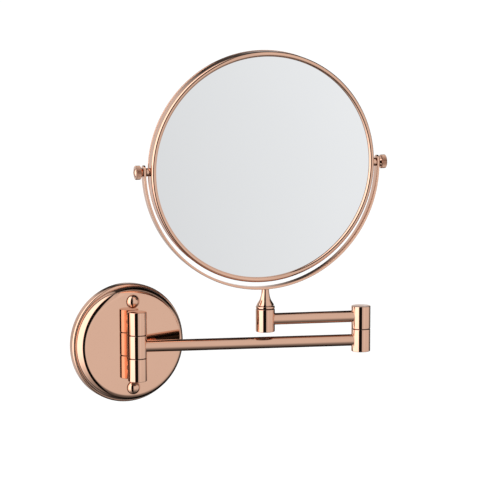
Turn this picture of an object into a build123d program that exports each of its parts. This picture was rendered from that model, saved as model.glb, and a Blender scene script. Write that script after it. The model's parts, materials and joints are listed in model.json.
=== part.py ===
from build123d import *
import math
import os

# Wall-mounted shaving mirror on a two-part swing arm: millimetres, +Z up.
# The origin is the centre of the wall plate's back face, -Y points out of the wall and +X runs along it.

# ---- resting position of the joints ----
LOWER_ARM_ANGLE = -16.7     # direction of the lower arm, from +X
UPPER_ARM_ANGLE = 164.8     # direction of the upper arm, from +X
MIRROR_YAW = -8.7           # turn of the mirror away from parallel to the wall
MIRROR_TILT = 4.0           # the mirror looks down a little
YOKE_LEAN = 0.8             # the left ear of the yoke is a little lower than the right

# ---- main sizes ----
LOWER_ARM_LENGTH = 205.7    # hinge axis to elbow axis
UPPER_ARM_LENGTH = 89.2     # elbow axis to stem axis
PIVOT_HEIGHT = 160.7        # mirror pivot above the lower rod's axis
PIVOT_OFFSET = -3.0         # mirror pivot to the left of the stem's axis

# ---- wall plate ----
PLATE_DEPTH = 18.0
FLANGE_R = 54.4
FLANGE_WALL_H = 5.8         # straight side below the rounded bead
BEAD_TOP_R = 52.3
BEAD_TOP_H = 8.0
GROOVE_H = 8.2
BEAD_BULGE = 0.45           # how far the bead stands out from a straight bevel
FACE_R = 46.4               # flat face, out to the crease where the shoulder starts
SHOULDER_R = 8.6            # radius of the shoulder's section
CREASE = 20.0               # slope of the shoulder where it meets the flat face
SHEET = 1.2
BACK_PLATE_T = 2.5
BACK_PLATE_R = 51.4
WALL_HOLE_SPACING = 79.0
WALL_HOLE_R = 2.25
CAP_R = 6.1
CAP_RISE = 5.2
CAP_RIM_H = 0.8
CAP_BORE_TOP = 1.7
CAP_SPIGOT_R = 4.0
CAP_BORE_R = 3.2
CAP_SPIGOT_L = 6.0

# ---- knuckles and pins ----
HINGE_OFFSET = PLATE_DEPTH + 9.4   # hinge axis in front of the wall
KNUCKLE_R = 8.75
KNUCKLE_PITCH = 21.2
WASHER_T = 0.4
RUN_GAP = 0.05              # gap between faces that turn on one another, and radial gap of a running fit
KNUCKLE_EDGE = 0.5
WASHER_R = 7.9
PIN_R = 3.0
PIN_HEAD_R = 4.6
PIN_HEAD_H = 3.0
PIN_SOCKET_AF = 4.0
PIN_SOCKET_DEPTH = 2.0
COUNTERBORE_R = 4.8
COUNTERBORE_DEPTH = 3.4
THREAD_DEPTH = 13.0
PIN_END_GAP = 1.0           # room left at the end of a hinge pin
STEM_PIN_END_GAP = 0.5
NECK_R = 4.0
NECK_COLLAR_R = 5.5
BACK_SCREW_R = 2.0
BACK_SCREW_HEAD_R = 4.0
BACK_SCREW_DEPTH = 10.0
SCREW_END_GAP = 1.0
THREAD_GAP = 0.02           # radial room left between a modelled thread and its hole

# ---- rods ----
ROD_R = 5.35
ROD_BORE_R = 4.4
STUB_REACH = 17.0           # stub's end, from the knuckle's axis
UPPER_ROD_RISE = 0.8        # the upper rod sits above the middle of its knuckles

# ---- stem ----
COLLAR_R = 8.7
COLLAR_H = 2.4
COLLAR_EDGE = 1.0
STEM_GROOVE_R = 7.0
STEM_GROOVE_H = 0.85
STEM_CURVE = (              # radius and height of the flare, from the collar up
    (7.9, 1.0), (7.3, 2.0), (6.2, 3.7), (5.1, 5.6), (4.5, 7.4), (4.0, 9.4), (3.6, 11.6), (3.45, 13.6),
)
STEM_BORE_DEPTH = 6.5
RIVET_R = 2.2

# ---- yoke ----
YOKE_OUTER_R = 110.9
STRAP_T = 2.2
STRAP_W = 8.8
EAR_RISE = 1.9              # straight part above the pivot, below the rounded tip

# ---- mirror head ----
HEAD_DEPTH = 16.0
BEZEL_R = 104.7
BEZEL_INNER_R = 100.0
BEZEL_LIP = 2.4             # height of the half-round front above the glass
BEZEL_SKIRT = 1.2
BAND_R = 104.4
BAND_T = 2.2
GLASS_R = 101.9
GLASS_T = 2.0
CONCAVE_R = 900.0           # hollow sphere of the magnifying glass
CORE_R = 101.6

# ---- pivots and thumbscrews ----
BOSS_R = 3.7
BOSS_GAP = 0.2
STUD_R = 2.0
STUD_END = 104.8
BOSS_BORE_END = 104.4
KNOB_NECK_R = 3.4
KNOB_NECK_TOP_R = 4.6
KNOB_NECK_L = 2.1
KNOB_R = 6.3
KNOB_DOME_R = 4.4
KNOB_FACE = 119.2           # flat end of the knob, from the middle of the mirror
KNOB_DOME = 1.4
KNURLS = 32
KNURL_DEPTH = 0.6
KNOB_EDGE = 0.7

# ---- helpers for shaping ----
OVER = 1.0                  # length by which a cutter runs past what it cuts
COS_45 = math.sqrt(0.5)

# ---- derived sizes ----
SHOULDER_MID_R = FACE_R - SHOULDER_R * math.sin(math.radians(CREASE))
SHOULDER_MID_H = PLATE_DEPTH - SHOULDER_R * math.cos(math.radians(CREASE))
KNUCKLE_H = KNUCKLE_PITCH - WASHER_T - 2 * RUN_GAP
BORE_R = PIN_R + RUN_GAP


def step_along(point, angle, length):
    """The point at a distance along a level direction."""
    turn = math.radians(angle)
    return (point[0] + length * math.cos(turn), point[1] + length * math.sin(turn), point[2])


HINGE = (0.0, -HINGE_OFFSET, 0.0)
ELBOW = step_along(HINGE, LOWER_ARM_ANGLE, LOWER_ARM_LENGTH)
STEM = step_along(ELBOW, UPPER_ARM_ANGLE, UPPER_ARM_LENGTH)

OUT_OF_WALL = Rot(90, 0, 0)                                     # turns +Z to -Y
AT_HINGE = Pos(*HINGE)
AT_ELBOW = Pos(*ELBOW)
AT_STEM = Pos(*STEM)
TO_PIVOT = Pos(PIVOT_OFFSET, 0, PIVOT_HEIGHT)
YOKE_FRAME = AT_STEM * Rot(0, 0, MIRROR_YAW) * TO_PIVOT * Rot(0, -YOKE_LEAN, 0)
HEAD_FRAME = YOKE_FRAME * Rot(MIRROR_TILT, 0, 0)
HEAD_LATHE = HEAD_FRAME * OUT_OF_WALL                           # its +Z is the front of the mirror


def turned(corners):
    """Solid turned about Z from (radius, height) corners."""
    outline = Polyline(*[(r, 0, z) for r, z in corners], close=True)
    return revolve(make_face(outline), Axis.Z)


def disc(radius, low, high):
    """Cylinder about Z between two heights."""
    return Pos(0, 0, (low + high) / 2) * Cylinder(radius, high - low)


def ring(outer, inner, low, high):
    return disc(outer, low, high) - disc(inner, low - OVER, high + OVER)


def level_bar(radius, start, end):
    """Cylinder along +X between two distances."""
    return Pos((start + end) / 2, 0, 0) * Rot(0, 90, 0) * Cylinder(radius, end - start)


def crown_arc(edge_r, edge_z, top_z):
    """Arc of a ball centred on the lathe axis, from a rim up to the crown."""
    rise = top_z - edge_z
    ball = (edge_r**2 + rise**2) / (2 * rise)
    half = math.asin(edge_r / ball) / 2
    middle = (ball * math.sin(half), 0, top_z - ball * (1 - math.cos(half)))
    return ThreePointArc((edge_r, 0, edge_z), middle, (0, 0, top_z))


# ---------------------------------------------------------------- wall plate
def rosette_solid(inset):
    """The wall plate's outside as a solid, or its hollow when inset by the sheet thickness."""
    side = FLANGE_R - inset
    bead_top = (BEAD_TOP_R - inset, 0, BEAD_TOP_H - inset)
    bead = ((side + bead_top[0]) / 2 + BEAD_BULGE, 0, (FLANGE_WALL_H + bead_top[2]) / 2 + BEAD_BULGE)
    turn_r = SHOULDER_R - inset
    wall = SHOULDER_MID_R + turn_r
    face = PLATE_DEPTH - inset
    crease = math.acos((face - SHOULDER_MID_H) / turn_r)
    half_way = (math.pi / 2 + crease) / 2
    middle = (SHOULDER_MID_R + turn_r * math.sin(half_way), 0, SHOULDER_MID_H + turn_r * math.cos(half_way))
    edge = (SHOULDER_MID_R + turn_r * math.sin(crease), 0, face)
    outline = Polyline((0, 0, face), (0, 0, -inset), (side, 0, -inset), (side, 0, FLANGE_WALL_H))
    outline += ThreePointArc((side, 0, FLANGE_WALL_H), bead, bead_top)
    outline += Polyline(bead_top, (wall, 0, GROOVE_H - inset), (wall, 0, SHOULDER_MID_H))
    outline += ThreePointArc((wall, 0, SHOULDER_MID_H), middle, edge)
    outline += Line(edge, (0, 0, face))
    return revolve(make_face(outline), Axis.Z)


def rosette():
    shell = rosette_solid(0) - rosette_solid(SHEET)
    neck_hole = disc(NECK_R + THREAD_GAP, 0, PLATE_DEPTH + OVER)
    cap_hole = disc(CAP_SPIGOT_R + THREAD_GAP, 0, PLATE_DEPTH + OVER)
    for side in (-1, 1):
        shell -= Pos(0, side * KNUCKLE_PITCH, 0) * neck_hole
        shell -= Pos(0, side * WALL_HOLE_SPACING / 2, 0) * cap_hole
    return OUT_OF_WALL * shell


def back_plate():
    plate = disc(BACK_PLATE_R, 0, BACK_PLATE_T)
    for side in (-1, 1):
        plate -= Pos(0, side * WALL_HOLE_SPACING / 2, 0) * disc(WALL_HOLE_R, -OVER, BACK_PLATE_T + OVER)
        plate -= Pos(0, side * KNUCKLE_PITCH, 0) * back_screw_shape(RUN_GAP)
    return OUT_OF_WALL * plate


def back_screw_shape(gap):
    """Countersunk screw standing on Z = 0, or its hole when a gap is given."""
    head_r = BACK_SCREW_HEAD_R + gap
    shank_r = BACK_SCREW_R + gap
    low = -gap
    high = BACK_PLATE_T + (OVER if gap else BACK_SCREW_DEPTH - SCREW_END_GAP)
    return turned([(0, low), (head_r, low), (shank_r, head_r - shank_r + low), (shank_r, high), (0, high)])


def back_screws():
    screws = [Pos(0, side * KNUCKLE_PITCH, 0) * back_screw_shape(0) for side in (-1, 1)]
    return OUT_OF_WALL * (screws[0] + screws[1])


def dome_caps():
    """Two domed covers over the wall screws, each with a hollow spigot."""
    crown = (0, 0, CAP_RISE)
    shoulder = (CAP_R, 0, CAP_RIM_H)
    outline = Polyline(
        crown, (0, 0, CAP_BORE_TOP), (CAP_BORE_R, 0, CAP_BORE_TOP), (CAP_BORE_R, 0, -CAP_SPIGOT_L),
        (CAP_SPIGOT_R, 0, -CAP_SPIGOT_L), (CAP_SPIGOT_R, 0, 0), (CAP_R, 0, 0), shoulder,
    )
    outline += crown_arc(CAP_R, CAP_RIM_H, CAP_RISE)
    cap = revolve(make_face(outline), Axis.Z)
    caps = [Pos(0, side * WALL_HOLE_SPACING / 2, PLATE_DEPTH) * cap for side in (-1, 1)]
    return OUT_OF_WALL * (caps[0] + caps[1])


# ---------------------------------------------------------------- hinge parts
def knuckle_blank(middle):
    blank = Pos(0, 0, middle) * Cylinder(KNUCKLE_R, KNUCKLE_H)
    return fillet(blank.edges().filter_by(GeomType.CIRCLE), KNUCKLE_EDGE)


def counterbore(middle):
    """Through bore with a wider seat for the pin's head at the bottom."""
    foot = middle - KNUCKLE_H / 2
    bore = disc(BORE_R, foot - OVER, foot + KNUCKLE_H + OVER)
    return bore + disc(COUNTERBORE_R, foot - OVER, foot + COUNTERBORE_DEPTH)


def blind_bore(middle):
    foot = middle - KNUCKLE_H / 2
    return disc(PIN_R + THREAD_GAP, foot - OVER, foot + THREAD_DEPTH)


def wall_neck(middle):
    """Neck that joins a fixed knuckle through the wall plate's face to the back plate."""
    inner = HINGE_OFFSET - PLATE_DEPTH
    neck = disc(NECK_R, 0, HINGE_OFFSET - BACK_PLATE_T) + disc(NECK_COLLAR_R, 0, inner)
    bore = disc(BACK_SCREW_R + THREAD_GAP, HINGE_OFFSET - BACK_PLATE_T - BACK_SCREW_DEPTH, HINGE_OFFSET)
    turn = Pos(0, 0, middle) * Rot(-90, 0, 0)
    return turn * neck, turn * bore


def fixed_knuckle(middle, pin_bore):
    neck, screw_bore = wall_neck(middle)
    return AT_HINGE * (knuckle_blank(middle) + neck - screw_bore - pin_bore)


def hinge_pin(foot, length):
    """Socket-headed pin standing on its head, from its foot up."""
    pin = disc(PIN_HEAD_R, foot, foot + PIN_HEAD_H) + disc(PIN_R, foot, foot + length)
    socket = extrude(RegularPolygon(PIN_SOCKET_AF / 2, 6, major_radius=False), PIN_SOCKET_DEPTH)
    return pin - Pos(0, 0, foot) * socket


def pin_foot(middle):
    """Height of a pin's head in the counterbore of the knuckle at this height."""
    return middle - KNUCKLE_H / 2 + COUNTERBORE_DEPTH - PIN_HEAD_H - RUN_GAP


def washer(seam):
    """Thin washer lying on the knuckle below a seam."""
    foot = seam - KNUCKLE_PITCH / 2 + KNUCKLE_H / 2
    return ring(WASHER_R, BORE_R, foot, foot + WASHER_T)


# ---------------------------------------------------------------- arms
def arm_knuckle(middle, rod_angle, rod_height, bore):
    """Knuckle with a round stub that fills the end of its rod."""
    stub = Rot(0, 0, rod_angle) * Pos(0, 0, rod_height) * level_bar(ROD_BORE_R, 0, STUB_REACH)
    return knuckle_blank(middle) + stub - bore


def rod(length, height):
    """Tube between two knuckles, its ends cut to the knuckles' round sides."""
    tube = level_bar(ROD_R, 0, length) - level_bar(ROD_BORE_R, -OVER, length + OVER)
    tube = Pos(0, 0, height) * tube
    tall = 4 * ROD_R
    for place in (0, length):
        tube -= Pos(place, 0, height) * Cylinder(KNUCKLE_R, tall)
    return tube


# ---------------------------------------------------------------- stem and yoke
def seat_height(seam):
    """Top face of the washer in a seam, plus its running gap."""
    return seam + KNUCKLE_PITCH / 2 - KNUCKLE_H / 2


def stem_collar(foot):
    collar = ring(COLLAR_R, BORE_R, foot, foot + COLLAR_H)
    edges = collar.edges().filter_by(GeomType.CIRCLE).filter_by(lambda edge: edge.radius > PIN_HEAD_R)
    return fillet(edges, COLLAR_EDGE)


def stem(foot):
    """Flared stem from the collar to the yoke, with a riveted end through the strap."""
    curve = [(r, 0, foot + z) for r, z in STEM_CURVE]
    top_r, top_z = curve[-1][0], PIVOT_HEIGHT - YOKE_OUTER_R + OVER
    groove_top = (STEM_GROOVE_R, 0, foot + STEM_GROOVE_H)
    outline = Polyline((0, 0, top_z), (0, 0, foot), (STEM_GROOVE_R, 0, foot), groove_top, curve[0])
    outline += Spline(*curve)
    outline += Polyline(curve[-1], (top_r, 0, top_z), (0, 0, top_z))
    body = revolve(make_face(outline), Axis.Z)
    body -= strap_cutter(YOKE_OUTER_R)
    body += disc(RIVET_R, foot + STEM_CURVE[-1][1], PIVOT_HEIGHT - YOKE_OUTER_R + 2 * STRAP_T)
    body -= strap_cutter(YOKE_OUTER_R - STRAP_T)
    return body - disc(PIN_R + THREAD_GAP, foot - OVER, foot + STEM_BORE_DEPTH)


def strap_cutter(radius):
    """Round bar along the strap's width, centred on the mirror's pivot."""
    return TO_PIVOT * Rot(90, 0, 0) * Cylinder(radius, 4 * STRAP_W)


def yoke_strap():
    """Half hoop of flat strap with two upright rounded ears."""
    inner = YOKE_OUTER_R - STRAP_T
    hoop = Rot(90, 0, 0) * ring(YOKE_OUTER_R, inner, -STRAP_W / 2, STRAP_W / 2)
    hoop -= Pos(0, 0, YOKE_OUTER_R) * Box(4 * YOKE_OUTER_R, 4 * STRAP_W, 2 * YOKE_OUTER_R)
    middle = (YOKE_OUTER_R + inner) / 2
    for side in (-1, 1):
        upright = Pos(side * middle, 0, EAR_RISE / 2) * Box(STRAP_T, STRAP_W, EAR_RISE)
        tip = Pos(side * middle, 0, EAR_RISE) * Rot(0, 90, 0) * Cylinder(STRAP_W / 2, STRAP_T)
        tip -= Pos(side * middle, 0, EAR_RISE - STRAP_W) * Box(2 * STRAP_T, 2 * STRAP_W, 2 * STRAP_W)
        hoop = hoop + upright + tip
    hoop -= level_bar(STUD_R + RUN_GAP, -YOKE_OUTER_R - OVER, YOKE_OUTER_R + OVER)
    to_stem = Rot(0, YOKE_LEAN, 0) * Pos(-PIVOT_OFFSET, 0, -PIVOT_HEIGHT)
    return hoop - to_stem * disc(RIVET_R + THREAD_GAP, 0, PIVOT_HEIGHT)


# ---------------------------------------------------------------- mirror head
def half_depth():
    return HEAD_DEPTH / 2


def bezel(front):
    """Half-round clamping ring over the glass's edge, with a skirt over the band."""
    face = half_depth()
    lip = face - BEZEL_LIP
    skirt = lip - BEZEL_SKIRT
    middle = (BEZEL_R + BEZEL_INNER_R) / 2
    bow = (BEZEL_R - BEZEL_INNER_R) / 2 * COS_45
    rise = BEZEL_LIP * COS_45
    outline = Polyline(
        (BEZEL_INNER_R, 0, lip), (BAND_R, 0, lip), (BAND_R, 0, skirt), (BEZEL_R, 0, skirt), (BEZEL_R, 0, lip)
    )
    outline += ThreePointArc((BEZEL_R, 0, lip), (middle + bow, 0, lip + rise), (middle, 0, face))
    outline += ThreePointArc((middle, 0, face), (middle - bow, 0, lip + rise), (BEZEL_INNER_R, 0, lip))
    shape = revolve(make_face(outline), Axis.Z)
    return shape if front else Rot(180, 0, 0) * shape


def rim_band():
    edge = half_depth() - BEZEL_LIP
    return ring(BAND_R, BAND_R - BAND_T, -edge, edge)


def plain_glass():
    face = half_depth() - BEZEL_LIP
    return disc(GLASS_R, face - GLASS_T, face)


def hollow_face(offset):
    """Radius and depth corners of the magnifying glass's hollow side, moved back by an offset."""
    face = half_depth() - BEZEL_LIP
    depth = CONCAVE_R - math.sqrt(CONCAVE_R**2 - BEZEL_INNER_R**2)
    centre = -face + depth + offset
    half_way = BEZEL_INNER_R / 2
    mid = centre - (CONCAVE_R - math.sqrt(CONCAVE_R**2 - half_way**2))
    return (0, 0, centre), (half_way, 0, mid), (BEZEL_INNER_R, 0, -face + offset)


def magnifying_glass():
    out_c, out_m, out_e = hollow_face(0)
    in_c, in_m, in_e = hollow_face(GLASS_T)
    outline = ThreePointArc(out_c, out_m, out_e)
    outline += Polyline(out_e, (GLASS_R, 0, out_e[2]), (GLASS_R, 0, in_e[2]), in_e)
    outline += ThreePointArc(in_e, in_m, in_c)
    outline += Line(in_c, out_c)
    return revolve(make_face(outline), Axis.Z)


def core():
    """Backing disc that fills the space between the two glasses."""
    in_c, in_m, in_e = hollow_face(GLASS_T)
    top = half_depth() - BEZEL_LIP - GLASS_T
    outline = ThreePointArc(in_c, in_m, in_e)
    outline += Polyline(in_e, (CORE_R, 0, in_e[2]), (CORE_R, 0, top), (0, 0, top), in_c)
    return revolve(make_face(outline), Axis.Z)


def pivot_boss(side):
    """Short threaded boss that stands on the band towards the yoke's ear."""
    strap_inside = YOKE_OUTER_R - STRAP_T
    boss = level_bar(BOSS_R, BAND_R - BAND_T, strap_inside - BOSS_GAP)
    boss -= Rot(90, 0, 0) * Cylinder(BAND_R, 4 * BOSS_R)
    boss -= level_bar(STUD_R + RUN_GAP, BOSS_BORE_END, strap_inside + OVER)
    return Rot(0, 0, 0 if side > 0 else 180) * boss


def knurled_bar(low, high):
    """Bar about Z with straight knurls along it."""
    tips = []
    for count in range(2 * KNURLS):
        turn = math.pi * count / KNURLS
        reach = KNOB_R - (KNURL_DEPTH if count % 2 else 0)
        tips.append((reach * math.cos(turn), reach * math.sin(turn)))
    return Pos(0, 0, low) * extrude(make_face(Polyline(*tips, close=True)), high - low)


def knob_outline(head):
    """Turned outside of a knob: bevelled edges and a low dome on the end."""
    shoulder = KNOB_FACE - KNOB_DOME
    inner = KNOB_R - KNOB_EDGE
    outline = Polyline(
        (0, 0, KNOB_FACE), (0, 0, head), (inner, 0, head), (KNOB_R, 0, head + KNOB_EDGE),
        (KNOB_R, 0, shoulder - KNOB_EDGE), (inner, 0, shoulder), (KNOB_DOME_R, 0, shoulder),
    )
    return revolve(make_face(outline + crown_arc(KNOB_DOME_R, shoulder, KNOB_FACE)), Axis.Z)


def thumbscrew(side):
    """Knurled knob with its threaded stud, lying along +X or -X."""
    seat = YOKE_OUTER_R + RUN_GAP
    head = seat + KNOB_NECK_L
    neck = turned([(0, seat), (KNOB_NECK_R, seat), (KNOB_NECK_TOP_R, head), (0, head)])
    knob = knurled_bar(head, KNOB_FACE) & knob_outline(head)
    screw = knob + neck + disc(STUD_R, STUD_END, head + OVER)
    return Rot(0, 90 if side > 0 else -90, 0) * screw


# ---------------------------------------------------------------- assembly
def all_nodes():
    low, high = -KNUCKLE_PITCH, KNUCKLE_PITCH
    half = KNUCKLE_PITCH / 2
    upper_rod_height = high + UPPER_ROD_RISE
    top_seam = high + half
    collar_foot = seat_height(top_seam)
    stem_foot = collar_foot + COLLAR_H
    hinge_length = high + THREAD_DEPTH - KNUCKLE_H / 2 - pin_foot(low) - PIN_END_GAP
    elbow_length = high + THREAD_DEPTH - KNUCKLE_H / 2 - pin_foot(0) - PIN_END_GAP
    stem_length = stem_foot + STEM_BORE_DEPTH - pin_foot(high) - STEM_PIN_END_GAP
    lower_frame = AT_HINGE * Rot(0, 0, LOWER_ARM_ANGLE)
    upper_frame = AT_ELBOW * Rot(0, 0, UPPER_ARM_ANGLE)
    back_lower = LOWER_ARM_ANGLE + 180
    back_upper = UPPER_ARM_ANGLE + 180
    through = disc(BORE_R, -KNUCKLE_H, KNUCKLE_H)
    hinge_washers = [washer(-half), washer(half)]
    return {
        "rosette": rosette(),
        "back_plate": back_plate(),
        "back_screws": back_screws(),
        "dome_caps": dome_caps(),
        "hinge_knuckle_bottom": fixed_knuckle(low, counterbore(low)),
        "hinge_knuckle_top": fixed_knuckle(high, blind_bore(high)),
        "hinge_pin": AT_HINGE * hinge_pin(pin_foot(low), hinge_length),
        "hinge_washer_lower": AT_HINGE * hinge_washers[0],
        "arm_knuckle_wall": AT_HINGE * arm_knuckle(0, LOWER_ARM_ANGLE, 0, through),
        "hinge_washer_upper": AT_HINGE * hinge_washers[1],
        "lower_rod": lower_frame * rod(LOWER_ARM_LENGTH, 0),
        "elbow_knuckle_lower": AT_ELBOW * arm_knuckle(0, back_lower, 0, counterbore(0)),
        "elbow_washer": AT_ELBOW * washer(half),
        "elbow_knuckle_upper": AT_ELBOW
        * arm_knuckle(high, UPPER_ARM_ANGLE, upper_rod_height, blind_bore(high)),
        "elbow_pin": AT_ELBOW * hinge_pin(pin_foot(0), elbow_length),
        "upper_rod": upper_frame * rod(UPPER_ARM_LENGTH, upper_rod_height),
        "stem_knuckle": AT_STEM * arm_knuckle(high, back_upper, upper_rod_height, counterbore(high)),
        "stem_washer": AT_STEM * washer(top_seam),
        "stem_pin": AT_STEM * hinge_pin(pin_foot(high), stem_length),
        "stem_collar": AT_STEM * stem_collar(collar_foot),
        "stem": AT_STEM * Rot(0, 0, MIRROR_YAW) * stem(stem_foot),
        "yoke_strap": YOKE_FRAME * yoke_strap(),
        "rim_band": HEAD_LATHE * rim_band(),
        "bezel_front": HEAD_LATHE * bezel(True),
        "bezel_back": HEAD_LATHE * bezel(False),
        "plain_glass": HEAD_LATHE * plain_glass(),
        "magnifying_glass": HEAD_LATHE * magnifying_glass(),
        "core_disc": HEAD_LATHE * core(),
        "pivot_boss_left": HEAD_FRAME * pivot_boss(-1),
        "pivot_boss_right": HEAD_FRAME * pivot_boss(1),
        "thumbscrew_left": HEAD_FRAME * thumbscrew(-1),
        "thumbscrew_right": HEAD_FRAME * thumbscrew(1),
    }


os.makedirs("parts", exist_ok=True)
for node, shape in all_nodes().items():
    export_step(shape, f"parts/{node}.step")
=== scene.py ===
import math

import bmesh
import bpy
from mathutils import Matrix, Vector
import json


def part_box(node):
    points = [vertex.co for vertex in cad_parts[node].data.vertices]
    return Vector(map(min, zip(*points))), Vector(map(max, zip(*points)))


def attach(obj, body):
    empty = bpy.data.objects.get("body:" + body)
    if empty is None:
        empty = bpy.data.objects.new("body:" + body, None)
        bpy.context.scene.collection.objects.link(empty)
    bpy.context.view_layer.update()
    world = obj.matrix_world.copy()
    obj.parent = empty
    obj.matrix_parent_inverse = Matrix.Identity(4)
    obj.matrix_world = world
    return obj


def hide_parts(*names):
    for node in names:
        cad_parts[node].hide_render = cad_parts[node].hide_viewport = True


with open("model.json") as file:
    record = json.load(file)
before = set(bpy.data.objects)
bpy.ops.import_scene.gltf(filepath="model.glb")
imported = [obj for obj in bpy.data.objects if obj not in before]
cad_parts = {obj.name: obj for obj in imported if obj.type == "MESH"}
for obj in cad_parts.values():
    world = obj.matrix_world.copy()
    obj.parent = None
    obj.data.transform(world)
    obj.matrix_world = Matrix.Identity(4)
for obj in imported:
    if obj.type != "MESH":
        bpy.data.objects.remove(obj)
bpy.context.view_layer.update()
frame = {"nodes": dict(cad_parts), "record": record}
RECORD = frame["record"]
JOINTS = {joint["name"]: joint for joint in RECORD["behaviour"]["joints"]}

# ------------------------------------------------------------------ places, in metres, read from the frame
MM = 0.001
HINGE_AXIS = Vector(JOINTS["wall_hinge"]["pos_m"])
ELBOW_AXIS = Vector(JOINTS["elbow_hinge"]["pos_m"])
STEM_AXIS = Vector(JOINTS["stem_swivel"]["pos_m"])
PIVOT = Vector(JOINTS["mirror_tilt"]["pos_m"])
PIVOT_AXIS = Vector(JOINTS["mirror_tilt"]["axis"]).normalized()
TILT = math.radians(4.0)
STEM_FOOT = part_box("stem")[0][2]
COLLAR_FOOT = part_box("stem_collar")[0][2]

# ------------------------------------------------------------------ sizes of the turned parts, in millimetres
SEGMENTS = 192
PLATE_DEPTH = 18.0
FLANGE_R = 54.4
FLANGE_WALL_H = 5.8
FLANGE_FOOT_EDGE = 0.3
BEAD_R = 2.1
GROOVE_H = 8.2
FACE_R = 46.4
SHOULDER_R = 8.6
CREASE = 20.0
CREASE_FILLET = 0.35
SHEET = 1.2
CAP_PLACES = (-39.5, 39.5)
CAP_R = 6.1
CAP_RISE = 5.2
CAP_RIM_H = 0.8
KNUCKLE_R = 8.75
ROD_R = 5.35
ROD_BORE_R = 4.4
COLLAR_R = 8.7
COLLAR_H = 2.4
COLLAR_EDGE = 1.0
COLLAR_BORE_R = 3.05
STEM_CURVE = (
    (7.9, 1.0), (7.3, 2.0), (6.2, 3.7), (5.1, 5.6), (4.5, 7.4), (4.0, 9.4), (3.6, 11.6), (3.45, 13.6),
)
STEM_GROOVE_R = 7.0
STEM_GROOVE_H = 0.85
STEM_TOP = 17.0
YOKE_OUTER_R = 110.9
STRAP_T = 2.2
STRAP_W = 8.8
STRAP_EDGE = 0.45
EAR_RISE = 1.9
HALF_DEPTH = 8.0
BEZEL_R = 104.7
BEZEL_INNER_R = 100.0
BEZEL_LIP = 2.4
BEZEL_SKIRT = 1.2
BAND_R = 104.4
BAND_T = 2.2
GLASS_R = 101.9
GLASS_T = 2.0
CONCAVE_R = 900.0
STUD_R = 2.0
STUD_END = 104.8
KNOB_SEAT = 110.95
KNOB_NECK_R = 3.4
KNOB_NECK_TOP_R = 4.6
KNOB_NECK_L = 2.1
KNOB_R = 6.3
KNOB_EDGE = 0.7
KNOB_DOME_R = 4.4
KNOB_DOME = 1.4
KNOB_FACE = 119.2
KNURLS = 32
KNURL_DEPTH = 0.6


def facing_wall(height=0.0):
    """Lathe axis +Z turned out of the wall, at a height above the wall plate's centre."""
    return Matrix.Translation((0, 0, height)) @ Matrix.Rotation(math.pi / 2, 4, "X")


def yoke_frame():
    """Yoke's own frame at the pivot: +X along the pivot, level +Y away from the face."""
    across = PIVOT_AXIS
    back = Vector((0, 0, 1)).cross(across).normalized()
    turn = Matrix((across, back, across.cross(back))).transposed().to_4x4()
    return Matrix.Translation(PIVOT) @ turn


def head_frame():
    return yoke_frame() @ Matrix.Rotation(TILT, 4, "X")


def head_lathe(front=True):
    """Lathe axis +Z turned to the front of the mirror, or to its back."""
    return head_frame() @ Matrix.Rotation(math.pi / 2 if front else -math.pi / 2, 4, "X")


# ------------------------------------------------------------------ materials
def node_maker(owner):
    tree = owner.node_tree

    def make(kind, **settings):
        node = tree.nodes.new(kind)
        for key, value in settings.items():
            setattr(node, key, value)
        return node

    return tree, make


def noise(tree, make, scale, detail=3.0, stretch=(1, 1, 1)):
    coords = make("ShaderNodeTexCoord")
    mapping = make("ShaderNodeMapping")
    mapping.inputs["Scale"].default_value = stretch
    tex = make("ShaderNodeTexNoise")
    tex.inputs["Scale"].default_value = scale
    tex.inputs["Detail"].default_value = detail
    tree.links.new(coords.outputs["Object"], mapping.inputs["Vector"])
    tree.links.new(mapping.outputs["Vector"], tex.inputs["Vector"])
    return tex.outputs["Fac"]


def ramp(tree, make, source, low, high, start=0.35, end=0.65):
    """Maps a noise value to a range of numbers."""
    node = make("ShaderNodeMapRange")
    node.inputs["From Min"].default_value = start
    node.inputs["From Max"].default_value = end
    node.inputs["To Min"].default_value = low
    node.inputs["To Max"].default_value = high
    tree.links.new(source, node.inputs["Value"])
    return node.outputs["Result"]


def tinted(tree, make, source, first, second):
    mix = make("ShaderNodeMix", data_type="RGBA")
    mix.inputs["A"].default_value = (*first, 1)
    mix.inputs["B"].default_value = (*second, 1)
    tree.links.new(source, mix.inputs["Factor"])
    return mix.outputs["Result"]


def shade_painted_in_gaps(tree, make, colour, dark=(0.05, 0.02, 0.016)):
    """Paints shade into a colour in seams and narrow grooves: darker where nearby surfaces close in, by
    ambient occlusion within 1.2 mm.
    """
    gap = make("ShaderNodeAmbientOcclusion", samples=4)
    gap.inputs["Distance"].default_value = 0.0012
    mix = make("ShaderNodeMix", data_type="RGBA")
    mix.inputs["A"].default_value = (*dark, 1)
    tree.links.new(ramp(tree, make, gap.outputs["AO"], 0.0, 1.0, 0.35, 0.8), mix.inputs["Factor"])
    tree.links.new(colour, mix.inputs["B"])
    return mix.outputs["Result"]


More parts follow.
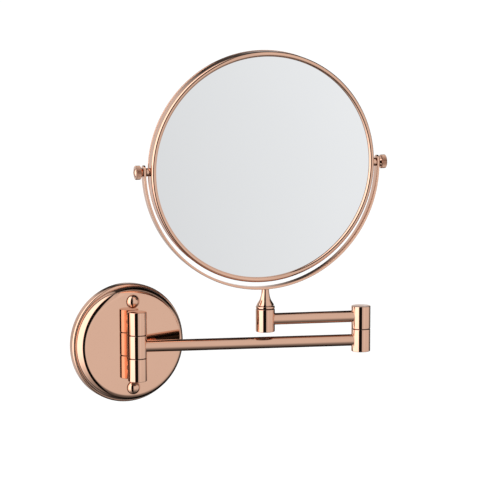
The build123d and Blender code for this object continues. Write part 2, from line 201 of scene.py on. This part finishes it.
def surface(name, colours, rough, metallic=0.0, bump=0.0, bump_scale=400.0, patch_scale=30.0,
            sockets=None, gap_shade_painted=False):
    """Principled material with colour, roughness and height that vary a little over the surface."""
    material = bpy.data.materials.new(name)
    material.use_nodes = True
    tree, make = node_maker(material)
    shader = tree.nodes["Principled BSDF"]
    shader.inputs["Metallic"].default_value = metallic
    for key, value in (sockets or {}).items():
        shader.inputs[key].default_value = value
    patches = noise(tree, make, patch_scale)
    fine = noise(tree, make, bump_scale, detail=4.0)
    colour = tinted(tree, make, patches, *colours)
    # Painted shade: the colour is darkened in seams and narrow grooves, where nearby surfaces close in.
    if gap_shade_painted:
        colour = shade_painted_in_gaps(tree, make, colour)
    tree.links.new(colour, shader.inputs["Base Color"])
    tree.links.new(ramp(tree, make, fine, *rough), shader.inputs["Roughness"])
    if bump:
        relief = make("ShaderNodeBump")
        relief.inputs["Strength"].default_value = bump
        relief.inputs["Distance"].default_value = 0.0001
        tree.links.new(fine, relief.inputs["Height"])
        tree.links.new(relief.outputs["Normal"], shader.inputs["Normal"])
    return material


MATERIALS = {
    "rose_gold": surface(
        "rose_gold", ((0.74, 0.452, 0.328), (0.78, 0.482, 0.353)), (0.03, 0.06),
        # Painted shade: ambient occlusion darkens this colour in seams and grooves.
        metallic=1.0, bump=0.004, bump_scale=900.0, patch_scale=18.0, gap_shade_painted=True,
    ),
    "steel": surface("steel", ((0.42, 0.41, 0.40), (0.50, 0.49, 0.48)), (0.28, 0.45), metallic=1.0, bump=0.3),
    "mirror_glass": surface(
        "mirror_glass", ((0.85, 0.865, 0.88), (0.865, 0.88, 0.895)), (0.004, 0.012),
        metallic=1.0, patch_scale=9.0, sockets={"Coat Weight": 0.2, "Coat Roughness": 0.01},
    ),
    "nylon": surface("nylon", ((0.020, 0.012, 0.010), (0.030, 0.018, 0.015)), (0.45, 0.6), bump=0.3),
    "core_plastic": surface("core_plastic", ((0.10, 0.10, 0.10), (0.13, 0.13, 0.13)), (0.5, 0.65), bump=0.3),
}


# ------------------------------------------------------------------ mesh helpers
def arc(middle_r, middle_z, radius, start, end, steps, squash=1.0):
    """Points of an arc in a lathe section, by angle in degrees from the radius direction towards +Z."""
    points = []
    for count in range(steps + 1):
        turn = math.radians(start + (end - start) * count / steps)
        points.append((middle_r + radius * math.cos(turn), middle_z + radius * squash * math.sin(turn)))
    return points


def crown(edge_r, edge_z, top_z, steps=14):
    """Points of a ball's arc centred on the axis, from the rim up to the crown."""
    rise = top_z - edge_z
    ball = (edge_r**2 + rise**2) / (2 * rise)
    half = math.asin(edge_r / ball)
    turns = [half * (1 - count / steps) for count in range(steps)]
    return [(ball * math.sin(turn), top_z - ball * (1 - math.cos(turn))) for turn in turns] + [(0, top_z)]


def smooth_curve(points, steps=5):
    """Extra points between given ones, along a Catmull-Rom curve."""
    padded = [points[0], *points, points[-1]]
    result = []
    for i in range(len(points) - 1):
        a, b, c, d = (Vector(p) for p in padded[i:i + 4])
        for count in range(steps):
            t = count / steps
            spot = b + 0.5 * t * ((c - a) + t * (2 * a - 5 * b + 4 * c - d + t * (3 * b - 3 * c + d - a)))
            result.append(tuple(spot))
    return result + [points[-1]]


def finish_piece(name, mesh_data, body, slot, nodes):
    """Makes the object from a bmesh: smooth shading, crisp edges, material, body and replaced nodes."""
    bmesh.ops.recalc_face_normals(mesh_data, faces=mesh_data.faces)
    mesh = bpy.data.meshes.new(name)
    mesh_data.to_mesh(mesh)
    mesh_data.free()
    mesh.polygons.foreach_set("use_smooth", [True] * len(mesh.polygons))
    mesh.set_sharp_from_angle(angle=math.radians(32))
    mesh.materials.append(MATERIALS[slot])
    piece = bpy.data.objects.new(name, mesh)
    bpy.context.scene.collection.objects.link(piece)
    weighted = piece.modifiers.new("weighted", "WEIGHTED_NORMAL")
    weighted.keep_sharp = True
    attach(piece, body)
    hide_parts(*nodes)
    return piece


def spin(mesh_data, section, place, closed, grooves=None):
    """Turns a section of (radius, height) points, in millimetres, about +Z of a place."""
    rings = []
    for radius, height in section:
        if radius < 1e-6:
            rings.append([mesh_data.verts.new(place @ Vector((0, 0, height * MM)))])
            continue
        ring = []
        for count in range(SEGMENTS):
            turn = 2 * math.pi * count / SEGMENTS
            reach = (radius - (grooves(radius, turn) if grooves else 0.0)) * MM
            spot = Vector((reach * math.cos(turn), reach * math.sin(turn), height * MM))
            ring.append(mesh_data.verts.new(place @ spot))
        rings.append(ring)
    pairs = list(zip(rings, rings[1:]))
    if closed:
        pairs.append((rings[-1], rings[0]))
    for first, second in pairs:
        for count in range(SEGMENTS):
            following = (count + 1) % SEGMENTS
            if len(first) == 1:
                mesh_data.faces.new((first[0], second[following], second[count]))
            elif len(second) == 1:
                mesh_data.faces.new((first[count], first[following], second[0]))
            else:
                mesh_data.faces.new((first[count], first[following], second[following], second[count]))


def lathe(name, section, places, body, slot, nodes, closed=False, grooves=None):
    mesh_data = bmesh.new()
    for place in places:
        spin(mesh_data, section, place, closed, grooves)
    return finish_piece(name, mesh_data, body, slot, nodes)


# ------------------------------------------------------------------ wall plate
def plate_skin(inset):
    """Section of the wall plate from the middle of its face to its foot, moved inwards by an inset."""
    middle_r = FACE_R - SHOULDER_R * math.sin(math.radians(CREASE))
    middle_h = PLATE_DEPTH - SHOULDER_R * math.cos(math.radians(CREASE))
    turn_r = SHOULDER_R - inset
    face = PLATE_DEPTH - inset
    slope = math.degrees(math.acos((face - middle_h) / turn_r))
    edge_r = middle_r + turn_r * math.sin(math.radians(slope))
    wall = middle_r + turn_r
    side = FLANGE_R - inset
    section = [(0, face), (edge_r - 4 * CREASE_FILLET, face), (edge_r - CREASE_FILLET, face)]
    section += arc(middle_r, middle_h, turn_r, 90 - slope - 2, 0, 22)
    section += [(wall, (middle_h + GROOVE_H) / 2 - inset), (wall, GROOVE_H - inset)]
    section += arc(side - BEAD_R, FLANGE_WALL_H, BEAD_R, 84, 0, 12)
    return section + [(side, FLANGE_FOOT_EDGE)]


def wall_plate():
    outside = plate_skin(0)
    inside = plate_skin(SHEET)
    foot = [(FLANGE_R - FLANGE_FOOT_EDGE, 0), (FLANGE_R - SHEET, 0)]
    section = outside + foot + inside[::-1]
    lathe("wall_plate_shell", section, [facing_wall()], "wall_plate", "rose_gold", ["rosette"])


def dome_caps():
    section = [(0, 0.02), (CAP_R - 0.15, 0.02), (CAP_R, 0.2)] + crown(CAP_R, CAP_RIM_H, CAP_RISE)
    seat = Matrix.Translation((0, 0, PLATE_DEPTH * MM))
    places = [facing_wall(height * MM) @ seat for height in CAP_PLACES]
    lathe("screw_caps", section, places, "wall_plate", "rose_gold", ["dome_caps"])


# ------------------------------------------------------------------ rods
def rod(name, body, start, end):
    """Tube between two upright knuckles, with its ends hollowed to the knuckles' round sides."""
    low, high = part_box(name)
    start = Vector((start.x, start.y, (low[2] + high[2]) / 2))
    end = Vector((end.x, end.y, start.z))
    along = (end - start).normalized()
    across = Vector((0, 0, 1)).cross(along)
    length = (end - start).length / MM
    steps = 30
    mesh_data = bmesh.new()
    rings = []
    for radius, order in ((ROD_R, range(steps + 1)), (ROD_BORE_R, range(steps, -1, -1))):
        for station in order:
            ring = []
            for count in range(96):
                turn = 2 * math.pi * count / 96
                side = radius * math.cos(turn)
                saddle = math.sqrt(KNUCKLE_R**2 - side**2)
                reach = saddle + (length - 2 * saddle) * station / steps
                offset = along * reach + across * side + Vector((0, 0, radius * math.sin(turn)))
                ring.append(mesh_data.verts.new(start + offset * MM))
            rings.append(ring)
    for first, second in zip(rings, rings[1:] + rings[:1]):
        for count in range(96):
            following = (count + 1) % 96
            mesh_data.faces.new((first[count], first[following], second[following], second[count]))
    finish_piece(f"{name}_tube", mesh_data, body, "rose_gold", [name])


# ------------------------------------------------------------------ stem
def on_stem(height):
    return Matrix.Translation((STEM_AXIS.x, STEM_AXIS.y, height))


def stem_parts():
    edge = COLLAR_EDGE
    top = COLLAR_H
    section = [(COLLAR_BORE_R, 0), (COLLAR_R - edge, 0)]
    section += arc(COLLAR_R - edge, edge, edge, -90, 0, 8)[1:]
    section += arc(COLLAR_R - edge, top - edge, edge, 0, 90, 8)
    section += [(COLLAR_BORE_R, top)]
    lathe("collar", section, [on_stem(COLLAR_FOOT)], "yoke", "rose_gold", ["stem_collar"], closed=True)
    section = [(0, 0), (STEM_GROOVE_R, 0), (STEM_GROOVE_R, STEM_GROOVE_H)]
    section += smooth_curve(STEM_CURVE) + [(STEM_CURVE[-1][0], STEM_TOP), (0, STEM_TOP)]
    lathe("flared_stem", section, [on_stem(STEM_FOOT)], "yoke", "rose_gold", ["stem"])


# ------------------------------------------------------------------ yoke
def strap_section(half_width):
    """Rounded rectangle across the strap: (outwards, along the width) points."""
    corner = min(STRAP_EDGE, half_width * 0.9)
    points = []
    for quarter, (out, wide) in enumerate(((1, 1), (-1, 1), (-1, -1), (1, -1))):
        middle = (out * (STRAP_T / 2 - corner), wide * (half_width - corner))
        for count in range(5):
            turn = math.radians(90 * quarter + 22.5 * count)
            points.append((middle[0] + corner * math.cos(turn), middle[1] + corner * math.sin(turn)))
    return points


def yoke_hoop():
    """Half hoop of flat strap, swept from one rounded ear tip to the other."""
    middle_r = YOKE_OUTER_R - STRAP_T / 2
    stations = []
    for count in range(1, 13):
        turn = math.radians(7.5 * count)
        stations.append((180, EAR_RISE + STRAP_W / 2 * math.cos(turn), STRAP_W / 2 * math.sin(turn)))
    stations += [(180 + 180 * count / 144, 0.0, STRAP_W / 2) for count in range(145)]
    stations += [(360, rise, half) for _, rise, half in stations[11::-1]]
    place = yoke_frame()
    mesh_data = bmesh.new()
    rings = []
    for angle, rise, half_width in stations:
        turn = math.radians(angle)
        ring = []
        for out, wide in strap_section(half_width):
            reach = middle_r + out
            spot = Vector((reach * math.cos(turn), wide, reach * math.sin(turn) + rise)) * MM
            ring.append(mesh_data.verts.new(place @ spot))
        rings.append(ring)
    for first, second in zip(rings, rings[1:]):
        for count in range(len(first)):
            following = (count + 1) % len(first)
            mesh_data.faces.new((first[count], first[following], second[following], second[count]))
    mesh_data.faces.new(rings[0])
    mesh_data.faces.new(rings[-1])
    finish_piece("yoke_hoop", mesh_data, "yoke", "rose_gold", ["yoke_strap"])


# ------------------------------------------------------------------ mirror head
LIP = HALF_DEPTH - BEZEL_LIP


def bezels():
    middle = (BEZEL_R + BEZEL_INNER_R) / 2
    half = (BEZEL_R - BEZEL_INNER_R) / 2
    skirt = LIP - BEZEL_SKIRT
    section = arc(middle, LIP, half, 0, 180, 28, squash=BEZEL_LIP / half)
    section += [(BAND_R, LIP - 0.01), (BAND_R, skirt), (BEZEL_R - 0.2, skirt), (BEZEL_R, skirt + 0.2)]
    for name, node, front in (("front_ring", "bezel_front", True), ("back_ring", "bezel_back", False)):
        lathe(name, section, [head_lathe(front)], "mirror_head", "rose_gold", [node], closed=True)


def edge_band():
    inner = BAND_R - BAND_T
    section = [(BAND_R, -LIP), (BAND_R, LIP), (inner, LIP), (inner, -LIP)]
    lathe("edge_band", section, [head_lathe()], "mirror_head", "rose_gold", ["rim_band"], closed=True)


def glasses():
    flat = [(0, LIP), (BEZEL_INNER_R, LIP), (GLASS_R, LIP), (GLASS_R, LIP - GLASS_T), (0, LIP - GLASS_T)]
    lathe("flat_glass", flat, [head_lathe()], "mirror_head", "mirror_glass", ["plain_glass"])
    hollow_depth = CONCAVE_R - math.sqrt(CONCAVE_R**2 - BEZEL_INNER_R**2)
    steps = 24
    hollow = []
    for count in range(steps + 1):
        radius = BEZEL_INNER_R * count / steps
        hollow.append((radius, LIP - hollow_depth + CONCAVE_R - math.sqrt(CONCAVE_R**2 - radius**2)))
    inner_face = [(radius, height - GLASS_T) for radius, height in hollow[::-1]]
    section = hollow + [(GLASS_R, LIP), (GLASS_R, LIP - GLASS_T)] + inner_face
    lathe("hollow_glass", section, [head_lathe(False)], "mirror_head", "mirror_glass", ["magnifying_glass"])


# ------------------------------------------------------------------ thumbscrews
def knurl(radius, turn):
    """Depth of the knurl's groove at an angle, on the knob's widest part only."""
    if radius < KNOB_R - KNOB_EDGE / 2:
        return 0.0
    wave = abs((turn * KNURLS / (2 * math.pi)) % 1.0 - 0.5) * 2
    return KNURL_DEPTH * wave**1.5


def thumbscrews():
    head = KNOB_SEAT + KNOB_NECK_L
    shoulder = KNOB_FACE - KNOB_DOME
    inner = KNOB_R - KNOB_EDGE
    section = [(0, STUD_END), (STUD_R, STUD_END), (STUD_R, KNOB_SEAT), (KNOB_NECK_R, KNOB_SEAT)]
    section += [(KNOB_NECK_TOP_R, head), (inner, head)]
    section += arc(inner, head + KNOB_EDGE, KNOB_EDGE, -90, 0, 5)[1:]
    section += arc(inner, shoulder - KNOB_EDGE, KNOB_EDGE, 0, 90, 5)
    section += crown(KNOB_DOME_R, shoulder, KNOB_FACE)
    for side, node, body in ((-1, "thumbscrew_left", "screw_left"), (1, "thumbscrew_right", "screw_right")):
        place = head_frame() @ Matrix.Rotation(side * math.pi / 2, 4, "Y")
        lathe(f"{node}_knob", section, [place], body, "rose_gold", [node], grooves=knurl)


# ------------------------------------------------------------------ CAD nodes that stay
def polish(node, material, edge=0.00018):
    """Gives a CAD node its material and soft, clean edges."""
    node.data.materials.clear()
    node.data.materials.append(material)
    for face in node.data.polygons:
        face.use_smooth = True
    weld = node.modifiers.new("weld", "WELD")
    weld.merge_threshold = 0.000004
    bevel = node.modifiers.new("bevel", "BEVEL")
    bevel.width = edge
    bevel.segments = 2
    bevel.limit_method = "ANGLE"
    bevel.angle_limit = math.radians(35)
    bevel.harden_normals = True


REPLACED = (
    "rosette", "dome_caps", "stem_collar", "stem", "yoke_strap", "bezel_front", "bezel_back", "rim_band",
    "plain_glass", "magnifying_glass", "thumbscrew_left", "thumbscrew_right", "lower_rod", "upper_rod",
)

wall_plate()
dome_caps()
rod("lower_rod", "lower_arm", HINGE_AXIS, ELBOW_AXIS)
rod("upper_rod", "upper_arm", ELBOW_AXIS, STEM_AXIS)
stem_parts()
yoke_hoop()
bezels()
edge_band()
glasses()
thumbscrews()
for part in RECORD["subparts"]:
    if part["node"] not in REPLACED:
        polish(frame["nodes"][part["node"]], MATERIALS[part["material_slot"]])


# ------------------------------------------------------------------ studio
CAMERA_TURN = math.radians(-26.18)
CAMERA_RISE = math.radians(8.06)
FLOOR_Z = -0.30
FLOOR_SIZE = 80.0
EVEN_LIGHT = 1.38
# Light seen in reflections by compass angle in degrees: 0 is the camera's side, negative is to its left.
LIGHT_ROUND = (
    (-180, 0.95), (-138, 0.95), (-129, 0.75), (-126, 0.55), (-121, 0.05), (-113, 0.05), (-107, 2.6),
    (-30, 2.6), (-24, 0.01), (11, 0.01), (15, 1.05), (25, 1.05), (31, 1.0), (39, 1.22), (52, 1.07),
    (100, 1.07), (125, 0.30), (140, 0.04), (165, 0.04), (176, 0.95), (180, 0.95),
)
# How much of it is left by height angle in degrees, in front of the object and behind it.
HEIGHT_FRONT = (
    (-90, 0.05), (-60, 0.22), (-38, 0.55), (-20, 0.92), (-10, 1.0), (50, 1.0), (72, 0.85), (90, 0.06),
)
HEIGHT_BEHIND = (
    (-90, 0.05), (-40, 0.06), (-22, 0.5), (-12, 1.0), (8, 1.0), (18, 0.08), (75, 0.05), (90, 0.06),
)
# Where "behind" starts on the camera's left and right, and how softly, in degrees.
BEHIND_LEFT = (150, 12)
BEHIND_RIGHT = (95, 20)


def floor():
    material = bpy.data.materials.new("floor_white")
    material.use_nodes = True
    shader = material.node_tree.nodes["Principled BSDF"]
    shader.inputs["Base Color"].default_value = (0.95, 0.95, 0.95, 1)
    shader.inputs["Roughness"].default_value = 0.8
    shader.inputs["Specular IOR Level"].default_value = 0.0
    side = FLOOR_SIZE
    mesh = bpy.data.meshes.new("floor")
    corners = [(-side, -side, FLOOR_Z), (side, -side, FLOOR_Z), (side, side, FLOOR_Z), (-side, side, FLOOR_Z)]
    mesh.from_pydata(corners, [], [(0, 1, 2, 3)])
    mesh.materials.append(material)
    obj = bpy.data.objects.new("floor", mesh)
    obj.visible_glossy = False
    bpy.context.scene.collection.objects.link(obj)


def studio_light():
    """Even white light for matt surfaces, and a ring of soft panels and dark gaps for glossy ones."""
    world = bpy.data.worlds.new("studio")
    bpy.context.scene.world = world
    world.use_nodes = True
    tree, make = node_maker(world)
    tree.nodes.clear()

    def calc(operation, *values):
        node = make("ShaderNodeMath", operation=operation)
        for socket, value in zip(node.inputs, values):
            if isinstance(value, (int, float)):
                socket.default_value = value
            else:
                tree.links.new(value, socket)
        return node.outputs[0]

    def table(angle, low, high, stops):
        """Brightness from an angle in degrees, straight between the stops."""
        ramp_node = make("ShaderNodeValToRGB")
        elements = ramp_node.color_ramp.elements
        peak = max(level for _, level in stops)
        for place, level in stops[1:-1]:
            elements.new((place - low) / (high - low)).color = (level / peak,) * 3 + (1,)
        elements[0].color = (stops[0][1] / peak,) * 3 + (1,)
        elements[len(stops) - 1].color = (stops[-1][1] / peak,) * 3 + (1,)
        tree.links.new(calc("DIVIDE", calc("SUBTRACT", angle, low), high - low), ramp_node.inputs["Fac"])
        return calc("MULTIPLY", ramp_node.outputs["Color"], peak)

    coords = make("ShaderNodeTexCoord")
    turned = make("ShaderNodeMapping")
    turned.inputs["Rotation"].default_value = (0, 0, -CAMERA_TURN)
    tree.links.new(coords.outputs["Generated"], turned.inputs["Vector"])
    parts = make("ShaderNodeSeparateXYZ")
    tree.links.new(turned.outputs["Vector"], parts.inputs["Vector"])
    x, y, z = parts.outputs
    compass = calc("DEGREES", calc("ARCTAN2", x, calc("MULTIPLY", y, -1.0)))
    height = calc("DEGREES", calc("ARCSINE", z))
    past_right = calc("DIVIDE", calc("SUBTRACT", compass, BEHIND_RIGHT[0]), BEHIND_RIGHT[1])
    leftwards = calc("MULTIPLY", compass, -1.0)
    past_left = calc("DIVIDE", calc("SUBTRACT", leftwards, BEHIND_LEFT[0]), BEHIND_LEFT[1])
    behind = calc("MINIMUM", 1.0, calc("MAXIMUM", 0.0, calc("MAXIMUM", past_right, past_left)))
    front = calc("SUBTRACT", 1.0, behind)
    front_level = calc("MULTIPLY", table(height, -90, 90, HEIGHT_FRONT), front)
    behind_level = calc("MULTIPLY", table(height, -90, 90, HEIGHT_BEHIND), behind)
    seen = calc("MULTIPLY", table(compass, -180, 180, LIGHT_ROUND), calc("ADD", front_level, behind_level))
    glossy = make("ShaderNodeLightPath").outputs["Is Glossy Ray"]
    even = calc("MULTIPLY", EVEN_LIGHT, calc("SUBTRACT", 1.0, glossy))
    glow = make("ShaderNodeBackground")
    tree.links.new(calc("ADD", even, calc("MULTIPLY", seen, glossy)), glow.inputs["Strength"])
    out = make("ShaderNodeOutputWorld")
    tree.links.new(glow.outputs["Background"], out.inputs["Surface"])


def soft_lamp():
    data = bpy.data.lights.new("soft_key", "AREA")
    data.shape = "DISK"
    data.size = 2.0
    data.energy = 4.0
    lamp = bpy.data.objects.new("soft_key", data)
    lamp.location = (-1.2, -1.6, 2.2)
    lamp.rotation_euler = (PIVOT - lamp.location).to_track_quat("-Z", "Y").to_euler()
    lamp.visible_glossy = False
    bpy.context.scene.collection.objects.link(lamp)


def camera():
    data = bpy.data.cameras.new("camera")
    data.lens = 154.9
    data.sensor_width = 36.0
    obj = bpy.data.objects.new("camera", data)
    obj.location = (-0.74991, -1.78280, 0.35760)
    obj.rotation_euler = (math.pi / 2 - CAMERA_RISE, 0, CAMERA_TURN)
    bpy.context.scene.collection.objects.link(obj)
    bpy.context.scene.camera = obj


floor()
studio_light()
soft_lamp()
camera()
bpy.context.scene.view_settings.view_transform = "Standard"
